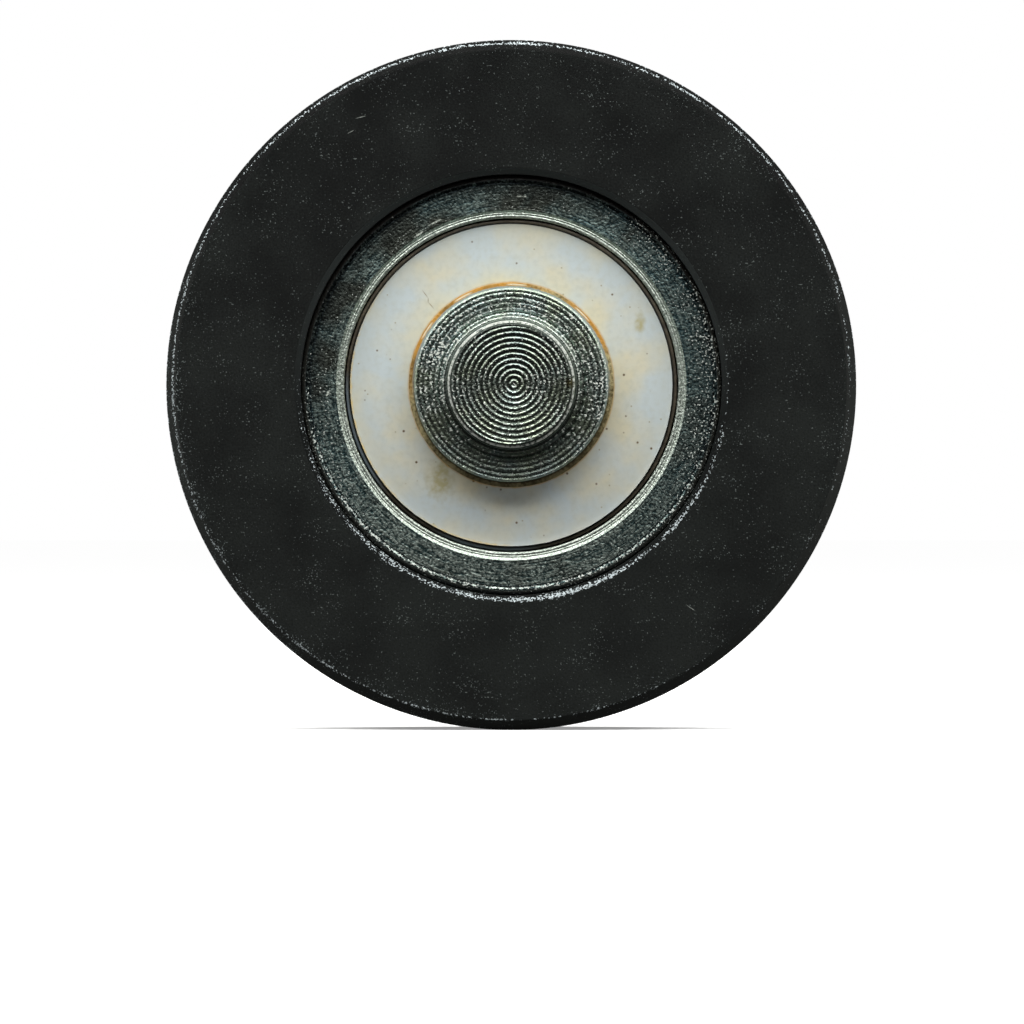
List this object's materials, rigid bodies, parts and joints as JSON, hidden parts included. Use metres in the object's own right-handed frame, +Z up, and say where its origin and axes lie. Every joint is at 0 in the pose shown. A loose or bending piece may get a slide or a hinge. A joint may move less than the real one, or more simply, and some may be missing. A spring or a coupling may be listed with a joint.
{
  "type": "screen door roller",
  "caption": "Grooved steel wheel on a ball bearing, with a stub spindle that fits a sliding screen door's roller housing.",
  "frame": {"origin": "centre of the wheel, on the spindle's axis and on the mid-plane of the groove", "axes": "+Y along the spindle, from the front face to the rear; +Z up, with the track below the wheel"},
  "size_m": [0.0254, 0.0086, 0.0254],
  "materials": {
    "black_oxide_steel": "matte",
    "race_steel": "satin",
    "zinc_plated_steel": "satin",
    "white_nylon": "satin",
    "bearing_steel": "polished"
  },
  "bodies": {
    "spindle": {"spindle": "zinc_plated_steel"},
    "wheel": {"wheel": "black_oxide_steel", "outer_race": "race_steel"},
    "retainer": {"retainer_front": "white_nylon", "retainer_rear": "white_nylon"},
    "ball_1": {"ball_1": "bearing_steel"},
    "ball_2": {"ball_2": "bearing_steel"},
    "ball_3": {"ball_3": "bearing_steel"},
    "ball_4": {"ball_4": "bearing_steel"},
    "ball_5": {"ball_5": "bearing_steel"},
    "ball_6": {"ball_6": "bearing_steel"}
  },
  "joints": [
    {"name": "wheel_spin", "type": "hinge", "parent": "spindle", "child": "wheel", "pos_m": [0, 0, 0], "axis": [0, 1, 0], "continuous": true},
    {"name": "retainer_orbit", "type": "hinge", "parent": "spindle", "child": "retainer", "pos_m": [0, 0, 0], "axis": [0, 1, 0], "continuous": true},
    {"name": "ball_1_spin", "type": "hinge", "parent": "retainer", "child": "ball_1", "pos_m": [0, 0, 0.00486], "axis": [0, 1, 0], "continuous": true},
    {"name": "ball_2_spin", "type": "hinge", "parent": "retainer", "child": "ball_2", "pos_m": [0.00421, 0, 0.00243], "axis": [0, 1, 0], "continuous": true},
    {"name": "ball_3_spin", "type": "hinge", "parent": "retainer", "child": "ball_3", "pos_m": [0.00421, 0, -0.00243], "axis": [0, 1, 0], "continuous": true},
    {"name": "ball_4_spin", "type": "hinge", "parent": "retainer", "child": "ball_4", "pos_m": [0, 0, -0.00486], "axis": [0, 1, 0], "continuous": true},
    {"name": "ball_5_spin", "type": "hinge", "parent": "retainer", "child": "ball_5", "pos_m": [-0.00421, 0, -0.00243], "axis": [0, 1, 0], "continuous": true},
    {"name": "ball_6_spin", "type": "hinge", "parent": "retainer", "child": "ball_6", "pos_m": [-0.00421, 0, 0.00243], "axis": [0, 1, 0], "continuous": true}
  ],
  "couplings": [
    {"joint": "retainer_orbit", "follows": "wheel_spin", "ratio": 0.66329},
    {"joint": "ball_1_spin", "follows": "wheel_spin", "ratio": 1.3677},
    {"joint": "ball_2_spin", "follows": "wheel_spin", "ratio": 1.3677},
    {"joint": "ball_3_spin", "follows": "wheel_spin", "ratio": 1.3677},
    {"joint": "ball_4_spin", "follows": "wheel_spin", "ratio": 1.3677},
    {"joint": "ball_5_spin", "follows": "wheel_spin", "ratio": 1.3677},
    {"joint": "ball_6_spin", "follows": "wheel_spin", "ratio": 1.3677}
  ]
}
